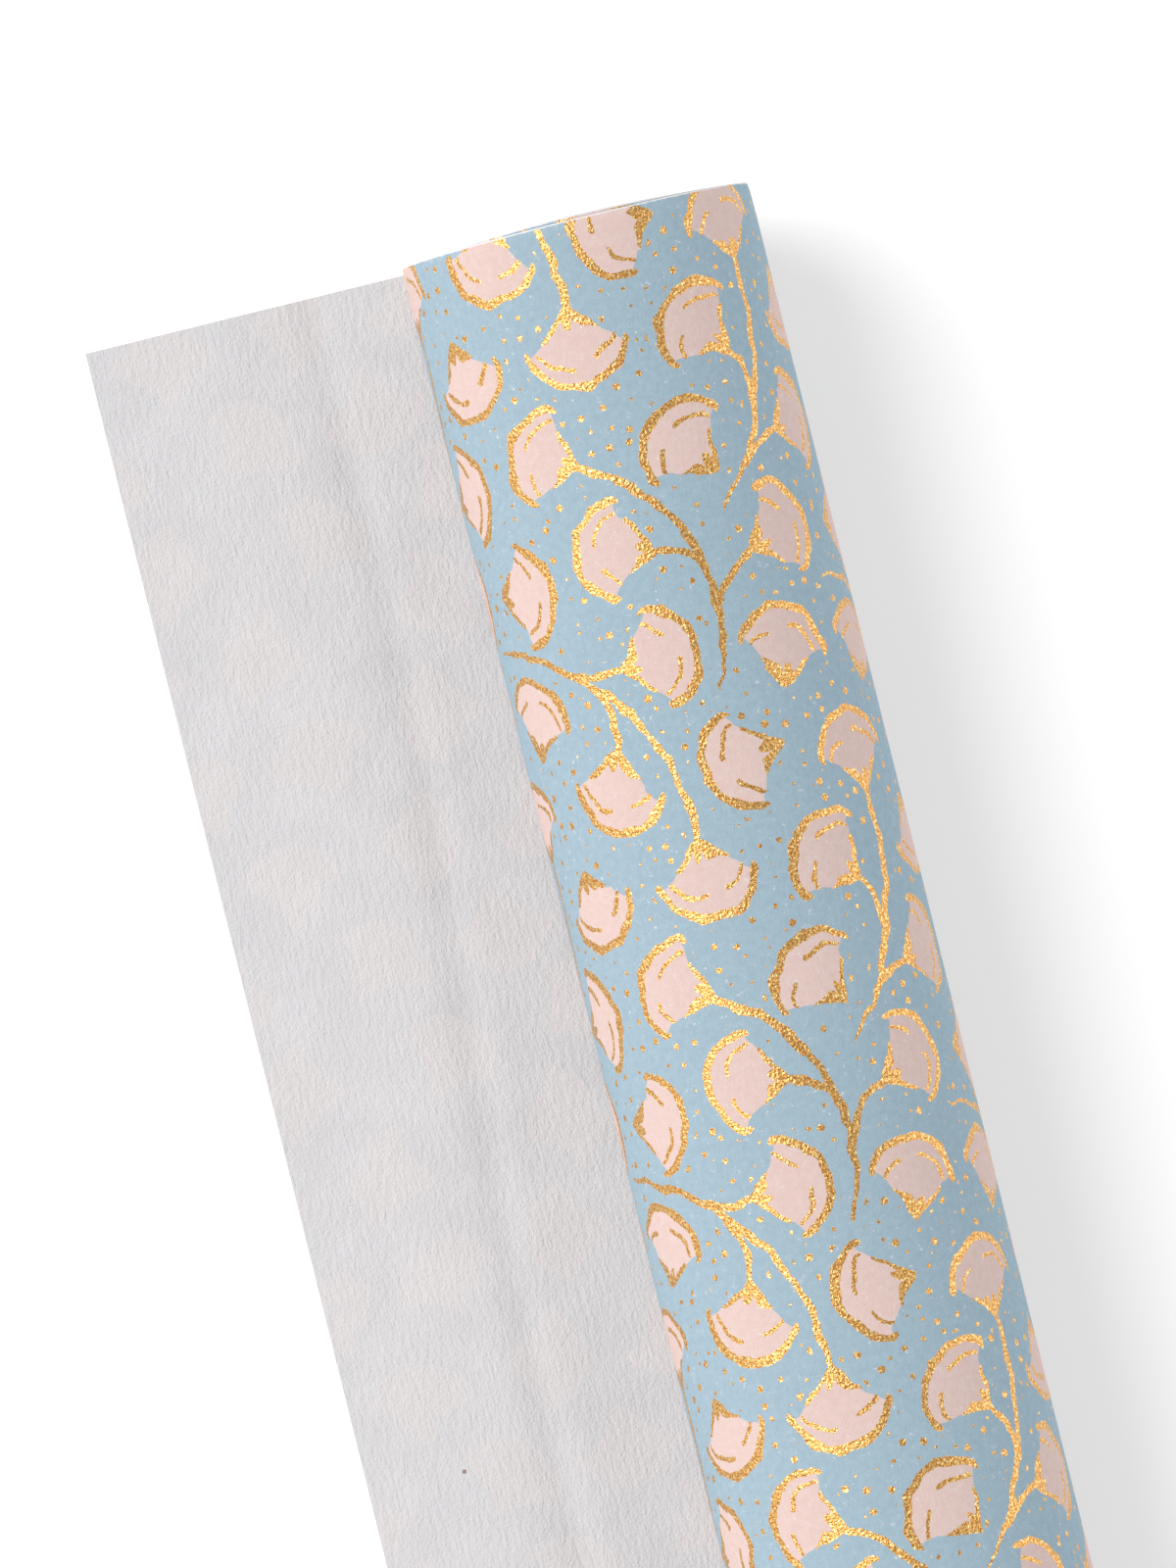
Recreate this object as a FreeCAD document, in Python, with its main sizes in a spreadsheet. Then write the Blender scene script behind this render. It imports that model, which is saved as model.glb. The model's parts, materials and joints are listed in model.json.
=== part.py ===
import FreeCAD, Part
import Sketcher
import math
import os

# A roll of gift wrapping paper, lying on a table with the loose end of its sheet spread out beside it.
# Millimetres. The roll's axis is Y, the table is below, and the loose end reaches towards +X.
# The origin is the centre of the core's bore, halfway along the roll.
#
#   core_tube         wound cardboard tube that the sheet is rolled on
#   core_tape         double-sided strip that holds the sheet's inner end to the tube
#   wound_sheet       the rolled part of the sheet, with the short flat tail that leaves from under the roll
#   loose_strip_NN    the loose end of the same sheet, in strips that hinge on their upper edges, so that it can
#                     curl up round the roll. It rises a little off the table on its way out, as stiff paper does

doc = FreeCAD.newDocument("WrappingPaperRoll")

# ---- driving dimensions -------------------------------------------------------------------------------------

DIMENSIONS = {
    "roll_length": 500.0,
    "roll_diameter": 50.0,
    "paper_thickness": 0.3,
    "turn_pitch": 0.45,
    "turn_count": 15,
    "bore_diameter": 33.0,
    "core_wall": 1.3,
    "core_recess": 1.0,
    "tape_thickness": 0.12,
    "tape_angle": 38.0,
    "loose_reach": 71.0,
    "strip_count": 14,
    "hinge_gap": 0.04,
    "curl_slack": 0.8,
    "steepest_rise": 7.0,
    "rise_begins": 2,
    "rise_ends": 12,
}

sheet = doc.addObject("Spreadsheet::Sheet", "Dims")
for row, (alias, value) in enumerate(DIMENSIONS.items(), start=1):
    sheet.set("A%d" % row, alias)
    sheet.set("B%d" % row, str(value))
    sheet.setAlias("B%d" % row, alias)
doc.recompute()

# The loose end is strip_count strips and half a strip of tail, after the slack that the curl needs.
STRIP_PITCH = "(Dims.loose_reach - Dims.curl_slack) / (Dims.strip_count + 0.5)"
TAIL_REACH = "(%s) / 2 + Dims.curl_slack" % STRIP_PITCH
CORE_RADIUS = "Dims.bore_diameter / 2 + Dims.core_wall"
CORE_LENGTH = "Dims.roll_length - 2 * Dims.core_recess"
ALONG_Y = FreeCAD.Rotation(FreeCAD.Vector(1, 0, 0), -90)


def point(x, z):
    """A point of the roll's cross-section, which lies in the XZ plane."""
    return FreeCAD.Vector(x, 0, z)


# ---- core tube: a ring sketched across the roll and padded both ways ------------------------------------------


def make_core_tube():
    body = doc.addObject("PartDesign::Body", "CoreTube")
    body.Label = "core_tube"
    sketch = body.newObject("Sketcher::SketchObject", "CoreRing")
    across = [plane for plane in body.Origin.OriginFeatures if plane.Role == "XZ_Plane"][0]
    sketch.AttachmentSupport = (across, [""])
    sketch.MapMode = "FlatFace"
    centre = FreeCAD.Vector(0, 0, 0)
    normal = FreeCAD.Vector(0, 0, 1)
    radii = {"Bore": "Dims.bore_diameter / 2", "Outside": CORE_RADIUS}
    for number, (name, expression) in enumerate(radii.items()):
        sketch.addGeometry(Part.Circle(centre, normal, 10.0 + number), False)
        sketch.addConstraint(Sketcher.Constraint("Coincident", number, 3, -1, 1))
        constraint = sketch.addConstraint(Sketcher.Constraint("Radius", number, 10.0 + number))
        sketch.renameConstraint(constraint, name)
        sketch.setExpression("Constraints." + name, expression)
    pad = body.newObject("PartDesign::Pad", "CoreLength")
    pad.Profile = sketch
    pad.Midplane = True
    pad.setExpression("Length", CORE_LENGTH)
    sketch.Visibility = False
    body.Placement = FreeCAD.Placement()
    return body


# ---- core tape: a thin sector on the outside of the tube, from the sheet's inner end onwards -------------------


def make_core_tape():
    cylinders = []
    for name, radius in (("TapeFace", CORE_RADIUS + " + Dims.tape_thickness"), ("TapeBack", CORE_RADIUS)):
        cylinder = doc.addObject("Part::Cylinder", name)
        cylinder.setExpression("Radius", radius)
        cylinder.setExpression("Height", CORE_LENGTH)
        cylinder.setExpression("Angle", "Dims.tape_angle")
        cylinders.append(cylinder)
    tape = doc.addObject("Part::Cut", "CoreTape")
    tape.Label = "core_tape"
    tape.Base, tape.Tool = cylinders
    # The sector begins straight below the axis and runs towards +X.
    turn = FreeCAD.Rotation(FreeCAD.Vector(0, 1, 0), 90 - sheet.tape_angle)
    tape.Placement = FreeCAD.Placement(FreeCAD.Vector(0, 0, 0), turn.multiply(ALONG_Y))
    tape.setExpression("Placement.Base.y", "-(%s) / 2" % CORE_LENGTH)
    return tape


# ---- wound sheet: a spiral of half turns that touch end to end, extruded along the roll ------------------------


def half_turn(number, depth):
    """The arc that half turn `number`, counted from outside, makes `depth` below the sheet's printed face. Even half
    turns are on the -X side and centred on the axis; odd ones are half a pitch smaller and centred half a pitch up."""
    odd = number % 2
    centre = odd * sheet.turn_pitch / 2
    radius = sheet.roll_diameter / 2 - number * sheet.turn_pitch / 2 - depth
    side = 1 if odd else -1
    bottom = point(0, centre - radius)
    middle = point(side * radius, centre)
    top = point(0, centre + radius)
    ends = (top, bottom) if odd else (bottom, top)
    return Part.Arc(ends[0], middle, ends[1]).toShape()


def winding_outline(tail_end):
    """The closed outline of the wound sheet's cross-section, with the flat tail that ends at x = tail_end."""
    printed = [half_turn(number, 0) for number in range(2 * int(sheet.turn_count))]
    back = [half_turn(number, sheet.paper_thickness) for number in range(2 * int(sheet.turn_count))]
    bottom = -sheet.roll_diameter / 2
    inner_printed = printed[-1].Vertexes[-1].Point
    inner_back = back[-1].Vertexes[-1].Point
    lines = [
        (point(tail_end, bottom), point(0, bottom)),
        (inner_printed, inner_back),
        (point(0, bottom + sheet.paper_thickness), point(tail_end, bottom + sheet.paper_thickness)),
        (point(tail_end, bottom + sheet.paper_thickness), point(tail_end, bottom)),
    ]
    tail_under, inner_end, tail_over, tail_cut = [Part.LineSegment(*ends).toShape() for ends in lines]
    edges = [tail_under, *printed, inner_end, *reversed(back), tail_over, tail_cut]
    return Part.Wire(Part.__sortEdges__(edges))


def make_wound_sheet():
    tail_end = sheet.evalExpression(TAIL_REACH) - sheet.hinge_gap / 2
    profile = doc.addObject("Part::Feature", "WindingSection")
    profile.Shape = Part.Face(winding_outline(tail_end))
    wound = doc.addObject("Part::Extrusion", "WoundSheet")
    wound.Label = "wound_sheet"
    wound.Base = profile
    wound.DirMode = "Custom"
    wound.Dir = FreeCAD.Vector(0, 1, 0)
    wound.Solid = True
    wound.setExpression("LengthFwd", "Dims.roll_length")
    wound.setExpression("Placement.Base.y", "-Dims.roll_length / 2")
    return wound


# ---- loose end: a row of strips, each a hinge gap short of its neighbour --------------------------------------


def slope(number):
    """How steeply strip `number` rises, in degrees: level on the table, a soft ramp, then level again."""
    share = (number - sheet.rise_begins) / (sheet.rise_ends - sheet.rise_begins)
    return sheet.steepest_rise * math.sin(math.pi * min(max(share, 0), 1)) ** 2


def hinge_point(number):
    """The hinge that strip `number` turns on: the end of the strip before it, at the sheet's back face."""
    x = sheet.evalExpression(TAIL_REACH)
    z = sheet.paper_thickness - sheet.roll_diameter / 2
    pitch = sheet.evalExpression(STRIP_PITCH)
    for earlier in range(1, number):
        x += pitch * math.cos(math.radians(slope(earlier)))
        z += pitch * math.sin(math.radians(slope(earlier)))
    return FreeCAD.Vector(x, 0, z)


def make_loose_strip(number):
    strip = doc.addObject("Part::Box", "LooseStrip%02d" % number)
    strip.Label = "loose_strip_%02d" % number
    strip.setExpression("Length", "%s - Dims.hinge_gap" % STRIP_PITCH)
    strip.setExpression("Width", "Dims.roll_length")
    strip.setExpression("Height", "Dims.paper_thickness")
    # The box's own corner is under the hinge, half a gap along the strip and halfway back along the roll.
    tilt = FreeCAD.Rotation(FreeCAD.Vector(0, -1, 0), slope(number))
    corner = FreeCAD.Vector(sheet.hinge_gap / 2, -sheet.roll_length / 2, -sheet.paper_thickness)
    strip.Placement = FreeCAD.Placement(hinge_point(number) + tilt.multVec(corner), tilt)
    return strip


pieces = [make_core_tube(), make_core_tape(), make_wound_sheet()]
pieces += [make_loose_strip(number) for number in range(1, int(sheet.strip_count) + 1)]
doc.recompute()

# ---- checks and files ---------------------------------------------------------------------------------------

for thing in doc.Objects:
    if "Invalid" in thing.State or "Error" in thing.State:
        raise RuntimeError("%s did not recompute: %s" % (thing.Name, thing.State))
for piece in pieces:
    if piece.Shape.isNull() or not piece.Shape.isValid():
        raise RuntimeError("%s has no valid shape" % piece.Label)

os.makedirs("parts", exist_ok=True)
for piece in pieces:
    piece.Shape.exportStep("parts/%s.step" % piece.Label)

# ---- sizes worth knowing: the sheet laid flat, and the box and volume of the larger pieces --------------------

mid_radii = [
    sheet.roll_diameter / 2 - number * sheet.turn_pitch / 2 - sheet.paper_thickness / 2
    for number in range(2 * int(sheet.turn_count))
]
flat_length = math.pi * sum(mid_radii) + sheet.loose_reach
print("sheet laid flat: %.0f x %.0f mm" % (sheet.roll_length, flat_length))
for piece in pieces[:4]:
    print(piece.Label, piece.Shape.BoundBox, "volume %.0f" % piece.Shape.Volume)
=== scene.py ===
import json
import math

import bpy
import numpy as np
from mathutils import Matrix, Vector


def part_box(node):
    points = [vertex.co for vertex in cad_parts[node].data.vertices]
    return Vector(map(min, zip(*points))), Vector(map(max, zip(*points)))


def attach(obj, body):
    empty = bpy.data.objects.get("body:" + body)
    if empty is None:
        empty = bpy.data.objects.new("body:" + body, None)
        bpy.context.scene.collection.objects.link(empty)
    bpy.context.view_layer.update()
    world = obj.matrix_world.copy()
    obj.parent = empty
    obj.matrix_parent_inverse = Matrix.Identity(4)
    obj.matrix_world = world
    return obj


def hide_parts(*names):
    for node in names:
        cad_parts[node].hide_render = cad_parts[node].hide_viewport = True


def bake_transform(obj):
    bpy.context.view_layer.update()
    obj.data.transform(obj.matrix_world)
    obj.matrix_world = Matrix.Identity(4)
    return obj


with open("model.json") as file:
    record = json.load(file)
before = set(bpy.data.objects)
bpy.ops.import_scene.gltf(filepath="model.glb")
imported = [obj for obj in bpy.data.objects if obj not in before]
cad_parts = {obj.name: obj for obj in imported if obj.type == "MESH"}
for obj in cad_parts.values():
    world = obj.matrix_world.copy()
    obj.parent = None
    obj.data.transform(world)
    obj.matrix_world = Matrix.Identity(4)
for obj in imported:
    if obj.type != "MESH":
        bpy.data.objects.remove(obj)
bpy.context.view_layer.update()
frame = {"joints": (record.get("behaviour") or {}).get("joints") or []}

# A wrapping paper roll. The roll's axis is Y and the loose end of its sheet reaches towards +X. Metres.

# ---- the sheet's own sizes ---------------------------------------------------------------------------------

MM = 0.001
PAPER = 0.3 * MM
TURN_PITCH = 0.45 * MM
TURNS = 15
ROLL_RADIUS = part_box("wound_sheet")[1].z
HALF_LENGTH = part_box("wound_sheet")[1].y
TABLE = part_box("wound_sheet")[0].z

HINGES = [Vector(joint["pos_m"]) for joint in frame["joints"]]
STRIP = (HINGES[1] - HINGES[0]).length
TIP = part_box("loose_strip_%02d" % len(HINGES))[1]
LOOSE_LENGTH = HINGES[0].x + STRIP * len(HINGES)

# ---- mesh code: one closed slab of paper, with printed face, back and cut edge -----------------------------

PRINTED, BACK, CUT = 0, 1, 2


def placed(name, data):
    """A new object in the scene that holds the data."""
    made = bpy.data.objects.new(name, data)
    bpy.context.scene.collection.objects.link(made)
    return made


def slab(name, path, stations, materials, thickness=PAPER):
    """A sheet of paper as a closed mesh. path is a list of (flat position s, function of y that gives the
    mid-plane point and the direction of the printed face); stations are the places along the roll."""
    rows, columns = len(path), len(stations)
    points = []
    for face in (1, -1):
        for s, place in path:
            for y in stations:
                middle, outwards = place(y)
                points.append(middle + outwards * (face * thickness / 2))
    back = rows * columns
    faces, kinds = [], []

    def quad(a, b, c, d, kind):
        faces.append((a, b, c, d))
        kinds.append(kind)

    for i in range(rows - 1):
        for j in range(columns - 1):
            a, b = i * columns + j, (i + 1) * columns + j
            quad(a, a + 1, b + 1, b, PRINTED)
            quad(back + a, back + b, back + b + 1, back + a + 1, BACK)
    for i in range(rows - 1):
        for j, turned in ((0, False), (columns - 1, True)):
            a, b = i * columns + j, (i + 1) * columns + j
            corner = (a, b, back + b, back + a)
            quad(*(reversed(corner) if turned else corner), CUT)
    for j in range(columns - 1):
        for i, turned in ((0, False), (rows - 1, True)):
            a, b = i * columns + j, i * columns + j + 1
            corner = (a, back + a, back + b, b)
            quad(*(reversed(corner) if turned else corner), CUT)

    mesh = bpy.data.meshes.new(name)
    mesh.from_pydata(points, [], faces)
    for material in materials:
        mesh.materials.append(material)
    mesh.polygons.foreach_set("material_index", kinds)
    mesh.polygons.foreach_set("use_smooth", [True] * len(faces))
    flat = [(s, y) for s, _ in path for y in stations] * 2
    layer = mesh.uv_layers.new(name="flat_sheet")
    corners = np.empty(len(mesh.loops), np.int32)
    mesh.loops.foreach_get("vertex_index", corners)
    layer.data.foreach_set("uv", np.array(flat, np.float32)[corners].ravel())
    mesh.set_sharp_from_angle(angle=math.radians(40))
    mesh.validate()
    mesh.update()
    return placed(name, mesh)


def spread(low, high, count):
    """count + 1 evenly spaced numbers from low to high."""
    return [low + (high - low) * i / count for i in range(count + 1)]


def eased(share):
    """0 to 1 with level ends."""
    share = min(max(share, 0.0), 1.0)
    return share * share * (3 - 2 * share)


# ---- where the wound sheet lies ----------------------------------------------------------------------------


def half_turn(number):
    """(radius of the printed face, height of the centre) of a half turn, counted from outside."""
    return ROLL_RADIUS - number * TURN_PITCH / 2, (number % 2) * TURN_PITCH / 2


def slide(angle):
    """How far a turn has slipped along the roll: the turns under the outer one stand a little proud at the
    -Y end, most where they are uppermost."""
    turn = angle / (2 * math.pi)
    uppermost = ((1 - math.cos(angle)) / 2) ** 8
    return -(0.46 + 0.16 * math.sin(2.4 * int(turn))) * MM * uppermost * eased(turn - 0.7)


def rounded_over(y):
    """How far the sheet's two long cuts are pressed in at the roll's ends."""
    return 0.30 * MM * math.exp(-(HALF_LENGTH - abs(y)) / (0.8 * MM))


def out_of_round(angle, y):
    """Radial unevenness, which fades towards the core and where the sheet leaves on the table."""
    turn = angle / (2 * math.pi)
    lifted = ((1 - math.cos(angle)) / 2) ** 0.5
    wave = 0.10 * math.cos(2 * angle + 0.8) + 0.05 * math.sin(3 * angle + 21 * y)
    wave += 0.05 * math.sin(37 * y + angle)
    return (wave * MM - rounded_over(y)) * lifted * (1 - turn / TURNS)


def on_winding(angle):
    """The sheet's place at an angle in radians from where it leaves, counted up the -X side."""
    number = min(int(angle / math.pi + 1e-9), 2 * TURNS - 1)
    radius, centre = half_turn(number)
    outwards = Vector((-math.sin(angle), 0, -math.cos(angle)))

    def place(y):
        reach = radius - PAPER / 2 + out_of_round(angle, y)
        return Vector((0, y + slide(angle), centre)) + outwards * reach, outwards

    return place


def winding_path(first, last, steps_per_turn):
    """The path of the wound sheet from one angle to another."""
    count = round((last - first) / (2 * math.pi) * steps_per_turn)
    path, s, before = [], LOOSE_LENGTH, first
    for number in range(int(first / math.pi + 1e-9)):
        s += math.pi * (half_turn(number)[0] - PAPER / 2)
    for angle in spread(first, last, count):
        radius = half_turn(min(int((angle + before) / 2 / math.pi), 2 * TURNS - 1))[0]
        s += (angle - before) * (radius - PAPER / 2)
        path.append((s, on_winding(angle)))
        before = angle
    return path


# ---- where the loose end lies ------------------------------------------------------------------------------

RISE = TIP.z - (TABLE + PAPER)
RISE_FIRST, RISE_LAST = 2.5, 12.5
CREASE_DEPTH, CREASE_WIDTH = 0.30 * MM, 2.5 * MM
BULGE = 0.6 * MM


def uneven(x, y):
    """How far the loose end stands off its even curve: a long soft crease beside the roll, and slow waves."""
    free = eased((x - 14 * MM) / (30 * MM))
    crease_x = 37 * MM + 8 * MM * eased((y + 0.21) / 0.12) + 1.2 * MM * math.sin(19 * y)
    crease = math.exp(-(((x - crease_x) / CREASE_WIDTH) ** 2))
    bulge = math.exp(-(((x - 23 * MM) / (8 * MM)) ** 2))
    waves = 0.16 * math.sin(41 * y + 60 * x) + 0.13 * math.sin(17 * y - 90 * x + 1.0)
    waves += 0.05 * math.sin(140 * y + 2)
    return free * (waves * MM - CREASE_DEPTH * crease) + BULGE * bulge


def back_face(along):
    """The loose end's back face, `along` metres from the line under the roll's axis: (x, even height)."""
    places = [0.0] + [h.x for h in HINGES] + [TIP.x]
    numbers = [1 - HINGES[0].x / STRIP] + [k + 1 for k in range(len(HINGES) + 1)]
    index = 1 + (along - HINGES[0].x) / STRIP
    share = min(max((index - RISE_FIRST) / (RISE_LAST - RISE_FIRST), 0), 1)
    height = TABLE + PAPER + RISE * (share - math.sin(2 * math.pi * share) / (2 * math.pi))
    return float(np.interp(index, numbers, places)), height


def on_loose_end(along):
    """The sheet's place on the loose end. The printed face is underneath."""
    x, height = back_face(along)
    nearer, farther = back_face(along - 0.5 * MM), back_face(along + 0.5 * MM)
    tilt = math.atan2(farther[1] - nearer[1], farther[0] - nearer[0])
    downwards = Vector((math.sin(tilt), 0, -math.cos(tilt)))

    def place(y):
        lifted = Vector((x, y, height + uneven(x, y)))
        return lifted + downwards * (PAPER / 2), downwards

    return place


def loose_path(farthest, nearest, step):
    """The path of the loose end from the outer part towards the roll."""
    count = max(2, round((farthest - nearest) / step))
    return [(LOOSE_LENGTH - along, on_loose_end(along)) for along in spread(farthest, nearest, count)]


# ---- materials: short calls that add shader nodes ----------------------------------------------------------


class Graph:
    """Adds nodes to one tree. Each call returns the new node's output. An input is a number, a tuple or an
    output."""

    def __init__(self, tree):
        self.tree = tree

    def add(self, kind, inputs, output=0, **settings):
        node = self.tree.nodes.new(kind)
        for name, value in settings.items():
            setattr(node, name, value)
        for key, value in inputs.items():
            if isinstance(value, bpy.types.NodeSocket):
                self.tree.links.new(value, node.inputs[key])
            else:
                node.inputs[key].default_value = value
        return node.outputs[output]

    def math(self, operation, *values, clamp=False):
        return self.add("ShaderNodeMath", dict(enumerate(values)), operation=operation, use_clamp=clamp)

    def vector(self, operation, *values, output="Vector"):
        return self.add("ShaderNodeVectorMath", dict(enumerate(values)), output, operation=operation)

    def scaled(self, vector, factor):
        return self.add("ShaderNodeVectorMath", {0: vector, "Scale": factor}, operation="SCALE")

    def noise(self, vector, scale, detail=2.0, output="Fac", roughness=0.5, dimensions="2D"):
        inputs = {"Vector": vector, "Scale": scale, "Detail": detail, "Roughness": roughness}
        return self.add("ShaderNodeTexNoise", inputs, output, noise_dimensions=dimensions)

    def remap(self, value, low, high, to_low=0.0, to_high=1.0):
        inputs = {"Value": value, "From Min": low, "From Max": high, "To Min": to_low, "To Max": to_high}
        return self.add("ShaderNodeMapRange", inputs, clamp=True)

    def mix(self, factor, first, second):
        """The second colour where factor is 1."""
        return self.add("ShaderNodeMix", {0: factor, 6: first, 7: second}, 2, data_type="RGBA")

    def choose(self, factor, first, second):
        """The second vector where factor is 1."""
        return self.add("ShaderNodeMix", {0: factor, 4: first, 5: second}, 1, data_type="VECTOR")

    def least(self, *values):
        found = values[0]
        for value in values[1:]:
            found = self.math("MINIMUM", found, value)
        return found

    def most(self, *values):
        found = values[0]
        for value in values[1:]:
            found = self.math("MAXIMUM", found, value)
        return found


def colour(red, green, blue):
    """A colour given as it looks on a screen, 0 to 255, in the linear values that shaders use."""
    linear = [((c / 255 + 0.055) / 1.055) ** 2.4 if c > 10 else c / 255 / 12.92 for c in (red, green, blue)]
    return (*linear, 1.0)


def material(name, **sockets):
    """A new material, its graph and its Principled shader, with the given values on the shader's sockets."""
    made = bpy.data.materials.new(name)
    made.use_nodes = True
    shader = made.node_tree.nodes["Principled BSDF"]
    for key, value in sockets.items():
        shader.inputs[key.replace("_", " ")].default_value = value
    return made, Graph(made.node_tree), shader


# ---- the print: fan leaves on sprigs, single leaves and dots, repeated over the sheet. Millimetres ---------

TILE = (58.0, 75.0)
LEAF_HEIGHT = 12.2
LEAF_HALF_ANGLE = 0.84
LEAF_CENTRE = 6.0
RIM_HALF_WIDTH = 0.60
STEM_HALF_WIDTH = 0.55
DOT_SPACING = 3.0
DOT_RADII = (0.18, 0.54)

# a sprig: where its stem starts (x, y, heading), which hand it bends to, the stem's radius and bend, and for
# each of its two side stems (share of the stem's length, radius, bend)
SPRIGS = [
    ((29.3, 42.0, 4.24), 1, (24.7, 1.58), ((0.23, 10.2, 1.11), (0.37, 7.4, 1.28))),
    ((7.7, 30.5, 3.12), -1, (29.4, 1.59), ((0.33, 13.8, 0.64), (0.39, 9.8, 1.23))),
    ((22.3, 18.1, 3.89), 1, (39.8, 0.90), ((0.16, 12.6, 0.70), (0.40, 8.0, 1.24))),
]
# a single leaf: (x, y, heading) of its base
SINGLES = [(22.4, 51.5, 0.18), (20.1, 44.5, 4.43), (2.9, 23.1, 3.06), (57.3, 61.8, 1.76), (3.2, 46.3, 4.39),
           (22.0, 13.5, 5.38)]


def turned(length, heading):
    return length * math.cos(heading), length * math.sin(heading)


def arc_from(x, y, heading, radius, bend):
    """An arc that starts at (x, y) and turns by bend radians. Returns (centre, radius, middle direction, half
    angle) and where it ends with its heading."""
    hand = 1 if bend > 0 else -1
    dx, dy = turned(radius, heading + hand * math.pi / 2)
    centre = (x + dx, y + dy)
    start = heading - hand * math.pi / 2
    ex, ey = turned(radius, start + bend)
    return (centre, radius, start + bend / 2, abs(bend) / 2), (centre[0] + ex, centre[1] + ey, heading + bend)


def layout():
    """All stems and leaves of one tile. A leaf is (x, y) of its base and its heading."""
    arcs, leaves = [], list(SINGLES)
    for root, hand, (radius, bend), side_stems in SPRIGS:
        stem, tip = arc_from(*root, radius, hand * bend)
        arcs.append(stem)
        leaves.append(tip)
        for side, (share, side_radius, side_bend) in zip((-hand, hand), side_stems):
            _, fork = arc_from(*root, radius, hand * bend * share)
            branch, end = arc_from(*fork, side_radius, side * side_bend)
            arcs.append(branch)
            leaves.append(end)
    return arcs, leaves


def wrapped(g, vector):
    """The vector brought to the nearest repeat of the tile."""
    high = (TILE[0] / 2, TILE[1] / 2, 0)
    low = (-TILE[0] / 2, -TILE[1] / 2, 0)
    return g.vector("WRAP", vector, high, low)


def nearest_leaf(g, place, leaves):
    """The place seen from the nearest leaf's base, with the leaf's axis along Y."""
    best, chosen = 1e6, (0, 0, 0)
    for x, y, heading in leaves:
        dx, dy = turned(LEAF_CENTRE, heading)
        seen = wrapped(g, g.vector("SUBTRACT", place, (x + dx, y + dy, 0)))
        apart = g.vector("DOT_PRODUCT", seen, seen, output="Value")
        closer = g.math("LESS_THAN", apart, best)
        tagged = g.vector("ADD", seen, (0, 0, math.pi / 2 - heading))
        chosen = g.choose(closer, chosen, tagged)
        best = g.math("MINIMUM", apart, best)
    turn = g.add("ShaderNodeSeparateXYZ", {0: chosen}, "Z")
    flat = g.vector("MULTIPLY", chosen, (1, 1, 0))
    upright = g.add("ShaderNodeVectorRotate", {"Vector": flat, "Angle": turn}, rotation_type="Z_AXIS")
    return g.vector("ADD", upright, (0, LEAF_CENTRE, 0))


def stroke(g, off_line, bearing, middle, half_angle, reach, half_width):
    """Distance to the edge of a round-ended stroke that follows a line of equal reach."""
    past = g.math("SUBTRACT", g.math("ABSOLUTE", g.math("SUBTRACT", bearing, middle)), half_angle)
    past = g.math("MULTIPLY", g.math("MAXIMUM", past, 0.0), reach)
    both = g.add("ShaderNodeCombineXYZ", {"X": off_line, "Y": past})
    return g.math("SUBTRACT", g.vector("LENGTH", both, output="Value"), half_width)


def leaf_shape(g, seen):
    """Signed distances in millimetres, negative inside: (the whole leaf, its gold parts)."""
    x = g.add("ShaderNodeSeparateXYZ", {0: seen}, "X")
    y = g.add("ShaderNodeSeparateXYZ", {0: seen}, "Y")
    reach = g.vector("LENGTH", seen, output="Value")
    bearing = g.math("ARCTAN2", x, y)
    off_axis = g.math("ABSOLUTE", bearing)
    share = g.math("DIVIDE", off_axis, LEAF_HALF_ANGLE)
    squared = g.math("MULTIPLY", share, share)
    edge = g.math("MULTIPLY_ADD", squared, -0.19 * LEAF_HEIGHT, LEAF_HEIGHT)
    top = g.math("SUBTRACT", reach, edge)
    flare = g.math("POWER", g.math("DIVIDE", reach, 9.5), 3.0)
    limit = g.math("MULTIPLY_ADD", flare, 0.12, LEAF_HALF_ANGLE - 0.14)
    side = g.math("MULTIPLY", g.math("SUBTRACT", off_axis, limit), g.math("MAXIMUM", reach, 1.0))
    rim = stroke(g, g.math("ADD", top, RIM_HALF_WIDTH), bearing, 0.0, LEAF_HALF_ANGLE, reach, RIM_HALF_WIDTH)
    whole = g.math("MINIMUM", g.math("MAXIMUM", top, side), rim)

    slant = g.math("MULTIPLY_ADD", bearing, -1.2, 3.4)
    long_vein = stroke(g, g.math("ADD", top, slant), bearing, 0.40, 0.30, reach, 0.33)
    slant = g.math("MULTIPLY_ADD", bearing, 1.9, 4.3)
    short_vein = stroke(g, g.math("ADD", top, slant), bearing, -0.53, 0.20, reach, 0.33)

    teeth = g.math("ABSOLUTE", g.math("SINE", g.math("MULTIPLY_ADD", bearing, 5.2, 0.5)))
    near_side = g.math("POWER", g.math("DIVIDE", off_axis, LEAF_HALF_ANGLE - 0.16, clamp=True), 5.0)
    crown_reach = g.math("MULTIPLY_ADD", near_side, 2.9, g.math("MULTIPLY_ADD", teeth, 1.5, 2.0))
    crown = g.most(g.math("SUBTRACT", reach, crown_reach), g.math("SUBTRACT", side, 0.25))
    return whole, g.least(rim, long_vein, short_vein, crown)


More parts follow.
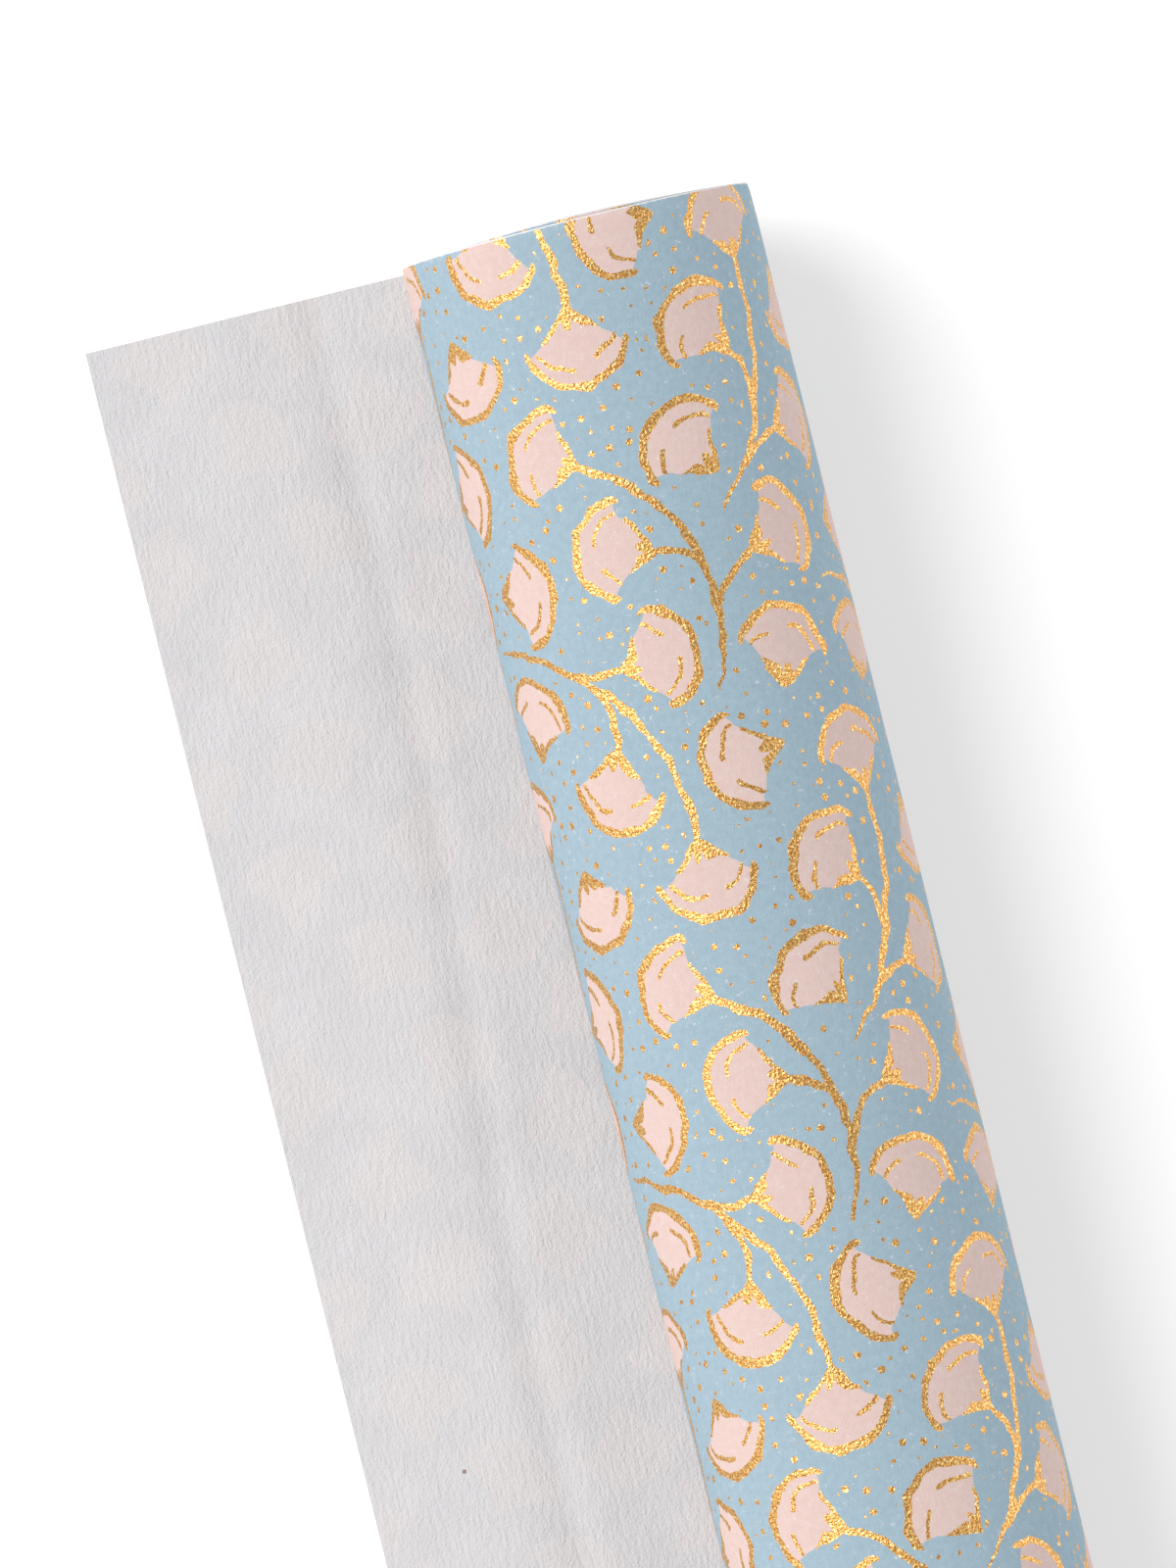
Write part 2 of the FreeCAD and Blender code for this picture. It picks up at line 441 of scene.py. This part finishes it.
def stems(g, place, arcs):
    """Distance to the nearest stem's edge. A sprig's stem thins towards its free end."""
    found, free_end = 1e6, 1e6
    for (x, y, _), *_ in SPRIGS:
        seen = wrapped(g, g.vector("SUBTRACT", place, (x, y, 0)))
        free_end = g.math("MINIMUM", free_end, g.vector("LENGTH", seen, output="Value"))
    for (cx, cy), radius, middle, half_angle in arcs:
        dx, dy = turned(radius, middle)
        seen = wrapped(g, g.vector("SUBTRACT", place, (cx + dx, cy + dy, 0)))
        seen = g.vector("ADD", seen, (dx, dy, 0))
        ring = g.math("ABSOLUTE", g.math("SUBTRACT", g.vector("LENGTH", seen, output="Value"), radius))
        along = g.vector("DOT_PRODUCT", seen, (*turned(1, middle), 0), output="Value")
        beyond = g.math("SUBTRACT", radius * math.cos(half_angle), along)
        found = g.math("MINIMUM", found, g.math("MAXIMUM", ring, beyond))
    return g.math("SUBTRACT", found, g.remap(free_end, 0.0, 9.0, 0.22, STEM_HALF_WIDTH))


def scattered(g, place, spacing, channel, randomness=1.0):
    """Random points about `spacing` apart: (distance to the nearest one, that point's own random number)."""
    inputs = {"Vector": place, "Scale": 1 / spacing, "Randomness": randomness}
    apart = g.add("ShaderNodeTexVoronoi", inputs, "Distance", voronoi_dimensions="2D")
    luck = g.add("ShaderNodeTexVoronoi", inputs, "Color", voronoi_dimensions="2D")
    return g.math("MULTIPLY", apart, spacing), g.add("ShaderNodeSeparateColor", {0: luck}, channel)


def make_print_group():
    """A node group that gives, for a place on the flat sheet, how much of it is leaf and how much is foil."""
    tree = bpy.data.node_groups.new("FanLeafPrint", "ShaderNodeTree")
    tree.interface.new_socket("Place", in_out="INPUT", socket_type="NodeSocketVector")
    tree.interface.new_socket("Leaf", in_out="OUTPUT", socket_type="NodeSocketFloat")
    tree.interface.new_socket("Foil", in_out="OUTPUT", socket_type="NodeSocketFloat")
    g = Graph(tree)
    start, end = tree.nodes.new("NodeGroupInput"), tree.nodes.new("NodeGroupOutput")
    place = start.outputs["Place"]
    wobble = g.vector("SUBTRACT", g.noise(place, 0.22, output="Color"), (0.5, 0.5, 0.5))
    drawn = g.vector("ADD", place, g.scaled(wobble, 1.9))
    drawn = g.vector("MULTIPLY", drawn, (1, 1, 0))
    arcs, leaves = layout()
    whole, leaf_gold = leaf_shape(g, nearest_leaf(g, drawn, leaves))
    stem = stems(g, drawn, arcs)
    apart, luck = scattered(g, place, DOT_SPACING, "Red", 0.8)
    dots = g.math("SUBTRACT", apart, g.remap(luck, 0.1, 0.9, *DOT_RADII))
    dots = g.most(dots, g.math("SUBTRACT", 1.0, whole), g.math("SUBTRACT", 1.3, stem))
    rough = g.math("MULTIPLY_ADD", g.noise(place, 2.2, 2.0), 0.40, -0.20)
    foil = g.math("ADD", g.least(leaf_gold, stem, dots), rough)
    tree.links.new(g.remap(whole, 0.05, -0.05), end.inputs["Leaf"])
    tree.links.new(g.remap(foil, 0.05, -0.05), end.inputs["Foil"])
    return tree


BLUE, BLUE_LIGHT = colour(153, 175, 188), colour(162, 184, 197)
PINK, PINK_DEEP = colour(220, 197, 191), colour(215, 189, 182)
GOLD, GOLD_PALE, GOLD_DEEP = colour(234, 182, 108), colour(255, 228, 160), colour(194, 133, 68)
BARE, PAPER_BACK, PAPER_GREY = colour(226, 226, 227), colour(219, 218, 220), colour(214, 213, 215)
SHOW_THROUGH, SPECK = colour(226, 219, 218), colour(140, 104, 84)
CUT_DULL, CUT_BRIGHT = colour(208, 208, 210), colour(232, 232, 232)
BOARD_DARK, BOARD_LIGHT, BOARD_SEAM = colour(150, 124, 96), colour(184, 160, 130), colour(104, 80, 58)
TAPE_DARK, TAPE_LIGHT = colour(214, 196, 158), colour(226, 214, 184)
SPECK_SPACING, SPECK_RADIUS = 21.0, 0.42
SHEET_END = HALF_LENGTH / MM

print_group = make_print_group()


def flat_place(g):
    """The sheet's flat coordinates in millimetres."""
    return g.scaled(g.add("ShaderNodeUVMap", {}, uv_map="flat_sheet"), 1 / MM)


def stamped(g, place):
    """(how much of the place is leaf, how much is foil)."""
    node = g.tree.nodes.new("ShaderNodeGroup")
    node.node_tree = print_group
    g.tree.links.new(place, node.inputs["Place"])
    return node.outputs["Leaf"], node.outputs["Foil"]


def paper_fibres(g, place, stretch=0.42, share=1.1):
    """Height of the felted surface: fine grain and, by `share`, longer fibres that run along the roll."""
    grain = g.noise(place, 3.4, 3.0, roughness=0.6)
    drawn_out = g.vector("MULTIPLY", place, (1.0, stretch, 1.0))
    fibres = g.noise(drawn_out, 1.9, 3.0, roughness=0.6)
    return g.math("MULTIPLY_ADD", fibres, share, grain)


def bump(g, height, distance):
    """The direction of the surface with a height over it."""
    return g.add("ShaderNodeBump", {"Height": height, "Distance": distance}, "Normal")


def make_printed():
    made, g, shader = material("printed_paper", Specular_IOR_Level=0.0)
    place = flat_place(g)
    leaf, foil = stamped(g, place)
    fibres = paper_fibres(g, place)
    mottle = g.remap(g.noise(place, 0.9, 4.0, roughness=0.7), 0.3, 0.7)
    ground = g.mix(mottle, BLUE, BLUE_LIGHT)
    petal = g.mix(mottle, PINK_DEEP, PINK)
    inked = g.mix(leaf, ground, petal)
    hairs = g.math("ABSOLUTE", g.math("SUBTRACT", g.noise(place, 0.85, 1.0), 0.5))
    hairs = g.math("MULTIPLY", g.remap(hairs, 0.010, 0.004), g.remap(g.noise(place, 0.55, 1.0), 0.56, 0.62))
    y = g.math("ABSOLUTE", g.add("ShaderNodeSeparateXYZ", {0: place}, "Y"))
    chipped = g.remap(g.math("MULTIPLY_ADD", mottle, 0.10, y), SHEET_END - 0.20, SHEET_END - 0.10)
    inked = g.mix(g.math("MAXIMUM", chipped, g.math("MULTIPLY", hairs, 0.6)), inked, BARE)
    foil = g.math("MULTIPLY", foil, g.math("SUBTRACT", 1.0, chipped))
    grain = g.noise(place, 3.2, 2.0)
    patchy = g.mix(g.remap(grain, 0.38, 0.62), GOLD_DEEP, GOLD)
    metal = g.mix(g.remap(g.noise(place, 2.1, 2.0), 0.52, 0.72), patchy, GOLD_PALE)
    g.tree.links.new(g.mix(foil, inked, metal), shader.inputs["Base Color"])
    g.tree.links.new(foil, shader.inputs["Metallic"])
    g.tree.links.new(g.remap(foil, 0.0, 1.0, 0.88, 0.36), shader.inputs["Roughness"])
    wrinkles = g.noise(place, 2.4, 2.0, roughness=0.6)
    normal = g.choose(foil, bump(g, fibres, 0.05 * MM), bump(g, wrinkles, 0.16 * MM))
    g.tree.links.new(normal, shader.inputs["Normal"])
    return made


def make_back():
    made, g, shader = material("paper_back", Roughness=0.95, Specular_IOR_Level=0.0)
    place = flat_place(g)
    leaf, _ = stamped(g, place)
    fibres = paper_fibres(g, g.scaled(place, 0.7), stretch=0.36, share=1.5)
    cloud = g.remap(g.noise(place, 0.12, 3.0), 0.3, 0.7)
    base = g.mix(cloud, PAPER_GREY, PAPER_BACK)
    seen = g.math("MULTIPLY", leaf, 0.4)
    tinted = g.mix(seen, base, SHOW_THROUGH)
    apart, luck = scattered(g, place, SPECK_SPACING, "Green")
    size = g.remap(luck, 0.75, 1.0, 0.0, SPECK_RADIUS)
    fleck = g.remap(g.math("SUBTRACT", apart, size), 0.0, -0.1, 0.0, 0.8)
    g.tree.links.new(g.mix(fleck, tinted, SPECK), shader.inputs["Base Color"])
    g.tree.links.new(bump(g, fibres, 0.11 * MM), shader.inputs["Normal"])
    return made


def make_cut():
    made, g, shader = material("paper_cut_edge", Roughness=0.95)
    place = flat_place(g)
    tone = g.remap(g.noise(place, 3.0, 3.0), 0.3, 0.7)
    g.tree.links.new(g.mix(tone, CUT_DULL, CUT_BRIGHT), shader.inputs["Base Color"])
    return made


SHEET = [make_printed(), make_back(), make_cut()]


SEAM_LEAD = 68.0
PLY = 0.42
CORE_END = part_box("core_tube")[1].y / MM


def make_board():
    """Grey-brown board wound in a spiral, with a seam between its edges and plies in the cut ends."""
    made, g, shader = material("core_board", Roughness=0.88, Specular_IOR_Level=0.25)
    where = g.scaled(g.add("ShaderNodeTexCoord", {}, "Object"), 1 / MM)
    x, y, z = (g.add("ShaderNodeSeparateXYZ", {0: where}, axis) for axis in "XYZ")
    along = g.math("MULTIPLY_ADD", g.math("ARCTAN2", x, z), SEAM_LEAD / (2 * math.pi), y)
    from_seam = g.math("ABSOLUTE", g.math("WRAP", along, SEAM_LEAD / 2, -SEAM_LEAD / 2))
    seam = g.remap(from_seam, 0.5, 0.1)
    radius = g.vector("LENGTH", g.vector("MULTIPLY", where, (1, 0, 1)), output="Value")
    plies = g.math("SINE", g.math("MULTIPLY", radius, 2 * math.pi / PLY))
    at_end = g.remap(g.math("ABSOLUTE", y), CORE_END - 0.3, CORE_END - 0.1)
    lines = g.math("MULTIPLY", at_end, g.remap(plies, 0.3, 1.0))
    speck = g.noise(where, 1.1, 5.0, dimensions="3D", roughness=0.7)
    tone = g.mix(g.remap(speck, 0.3, 0.7), BOARD_DARK, BOARD_LIGHT)
    darker = g.math("MAXIMUM", g.math("MULTIPLY", seam, 0.6), g.math("MULTIPLY", lines, 0.45))
    g.tree.links.new(g.mix(darker, tone, BOARD_SEAM), shader.inputs["Base Color"])
    height = g.math("SUBTRACT", g.math("MULTIPLY", speck, 0.6), g.math("MAXIMUM", seam, lines))
    g.tree.links.new(bump(g, height, 0.10 * MM), shader.inputs["Normal"])
    return made


def make_tape():
    made, g, shader = material("core_tape", Roughness=0.42, IOR=1.49, Coat_Weight=0.15)
    where = g.add("ShaderNodeTexCoord", {}, "Object")
    haze = g.noise(where, 260.0, 3.0, dimensions="3D")
    g.tree.links.new(g.mix(haze, TAPE_DARK, TAPE_LIGHT), shader.inputs["Base Color"])
    g.tree.links.new(bump(g, haze, 0.04 * MM), shader.inputs["Normal"])
    return made


# ---- the core tube and its tape ----------------------------------------------------------------------------

CORE_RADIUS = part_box("core_tube")[1].z
CORE_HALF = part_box("core_tube")[1].y
CORE_WALL = 1.3 * MM
EDGE_WEAR = 0.32 * MM
TAPE = 0.12 * MM
TAPE_ANGLE = math.radians(38)


def tube_outline():
    """The wall's section as (radius, y), with its four edges worn round."""
    outer, inner = CORE_RADIUS - EDGE_WEAR, CORE_RADIUS - CORE_WALL + EDGE_WEAR
    outline = []
    for radius, end, first in ((outer, 1, 0), (inner, 1, 90), (inner, -1, 180), (outer, -1, 270)):
        for step in range(5):
            turn = math.radians(first + 22.5 * step)
            y = end * (CORE_HALF - EDGE_WEAR) + EDGE_WEAR * math.sin(turn)
            outline.append((radius + EDGE_WEAR * math.cos(turn), y))
    return outline


def make_tube(name, rings, made):
    """The tube, with ends that were cut a little unevenly."""
    outline = tube_outline()
    points, faces, count = [], [], len(outline)
    for i in range(rings):
        angle = 2 * math.pi * i / rings
        uneven_cut = (0.06 * math.sin(3 * angle) + 0.03 * math.sin(11 * angle + 1)) * MM
        for j, (radius, y) in enumerate(outline):
            a, b = i * count + j, i * count + (j + 1) % count
            c, d = (i + 1) % rings * count + (j + 1) % count, (i + 1) % rings * count + j
            points.append((math.sin(angle) * radius, y + uneven_cut, math.cos(angle) * radius))
            faces.append((a, d, c, b))
    mesh = bpy.data.meshes.new(name)
    mesh.from_pydata(points, [], faces)
    mesh.materials.append(made)
    mesh.polygons.foreach_set("use_smooth", [True] * len(faces))
    mesh.update()
    return placed(name, mesh)


def on_tube(angle):
    """A place on the tape, counted from under the tube towards +X."""
    outwards = Vector((math.sin(angle), 0, -math.cos(angle)))

    def place(y):
        frayed = 0.2 * MM * math.sin(900 * angle * CORE_RADIUS) * (abs(y) > CORE_HALF - 1 * MM)
        return outwards * (CORE_RADIUS + TAPE / 2) + Vector((0, y + frayed, 0)), outwards

    return place


tube = make_tube("spiral_core", 128, make_board())
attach(tube, "roll")
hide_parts("core_tube")

tape_path = [(CORE_RADIUS * angle, on_tube(angle)) for angle in spread(0, TAPE_ANGLE, 24)]
tape = slab("core_strip", tape_path, spread(-CORE_HALF, CORE_HALF, 40), [make_tape()] * 3, TAPE)
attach(tape, "roll")
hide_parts("core_tape")

# ---- the sheet's pieces ------------------------------------------------------------------------------------

NEAR_END = [HALF_LENGTH - gap * MM for gap in (2.2, 1.2, 0.6, 0.25)]
STATIONS = sorted(spread(-HALF_LENGTH, HALF_LENGTH, 100) + NEAR_END + [-y for y in NEAR_END])
MID_TAIL = HINGES[0].x - STRIP / 2
outer_path = loose_path(MID_TAIL, MID_TAIL / 3, 0.3 * MM) + winding_path(0, 2 * math.pi, 96)
outer = slab("sheet_outer_turn", outer_path, STATIONS, SHEET)
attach(outer, "roll")
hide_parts("wound_sheet")

inner_path = winding_path(2 * math.pi, 2 * math.pi * TURNS, 48)
inner = slab("sheet_inner_turns", inner_path, spread(-HALF_LENGTH, HALF_LENGTH, 20), SHEET)
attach(inner, "roll")
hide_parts("wound_sheet")

for number, hinge in enumerate(HINGES, start=1):
    nearest = hinge.x - STRIP / 2 if number == 1 else HINGES[0].x + STRIP * (number - 1.5)
    farthest = LOOSE_LENGTH if number == len(HINGES) else HINGES[0].x + STRIP * (number - 0.5)
    piece = slab("sheet_loose_%02d" % number, loose_path(farthest, nearest, 0.8 * MM), STATIONS, SHEET)
    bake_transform(piece)
    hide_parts("loose_strip_%02d" % number)

# ---- floor, light and camera -------------------------------------------------------------------------------

floor_mesh = bpy.data.meshes.new("floor")
SIDE = 6.0
corners = [(-SIDE, -SIDE, TABLE), (SIDE, -SIDE, TABLE), (SIDE, SIDE, TABLE), (-SIDE, SIDE, TABLE)]
floor_mesh.from_pydata(corners, [], [(0, 1, 2, 3)])
floor = placed("floor", floor_mesh)
floor_material, _, _ = material(
    "floor_white", Base_Color=(0.75, 0.75, 0.75, 1), Roughness=1.0, Specular_IOR_Level=0.0,
    Emission_Color=(1, 1, 1, 1), Emission_Strength=0.34)
floor_mesh.materials.append(floor_material)

AXIS_TILT = math.radians(13.97)
image_up = Vector((-math.sin(AXIS_TILT), -math.cos(AXIS_TILT), 0))
image_left = Vector((math.cos(AXIS_TILT), -math.sin(AXIS_TILT), 0))


def lamp(name, direction, strength, spread_angle, tint):
    """A large, even, faraway light from a direction."""
    data = bpy.data.lights.new(name, "SUN")
    data.angle = math.radians(spread_angle)
    data.energy = strength
    data.color = tint
    light = placed(name, data)
    light.rotation_mode = "QUATERNION"
    light.rotation_quaternion = direction.to_track_quat("Z", "Y")


up = Vector((0, 0, 1))
lamp("key", image_left * 0.92 + image_up * 0.3 + up, 2.6, 44, (1.0, 0.97, 0.955))
lamp("fill", -image_left * 3.0 + up, 0.75, 30, (0.96, 0.985, 1.0))

world = bpy.data.worlds.new("studio")
bpy.context.scene.world = world
world.use_nodes = True
studio = Graph(world.node_tree)
seen_directly = studio.add("ShaderNodeLightPath", {}, "Is Camera Ray")
background = world.node_tree.nodes["Background"]
background.inputs["Color"].default_value = (0.965, 0.985, 1, 1)
world.node_tree.links.new(studio.remap(seen_directly, 0, 1, 0.5, 1.1), background.inputs["Strength"])
bpy.context.scene.view_settings.view_transform = "Standard"

CAMERA_DISTANCE = 1.9
VIEW_HEIGHT = 217.9 * MM
camera_data = bpy.data.cameras.new("camera")
camera_data.lens = camera_data.sensor_width / 2 / (VIEW_HEIGHT / 2 / CAMERA_DISTANCE)
camera_data.clip_start, camera_data.clip_end = 0.1, 20
camera = placed("camera", camera_data)
camera.location = (16.9 * MM, -HALF_LENGTH + 75.7 * MM, CAMERA_DISTANCE)
camera.rotation_euler = (0, 0, math.pi - AXIS_TILT)
bpy.context.scene.camera = camera
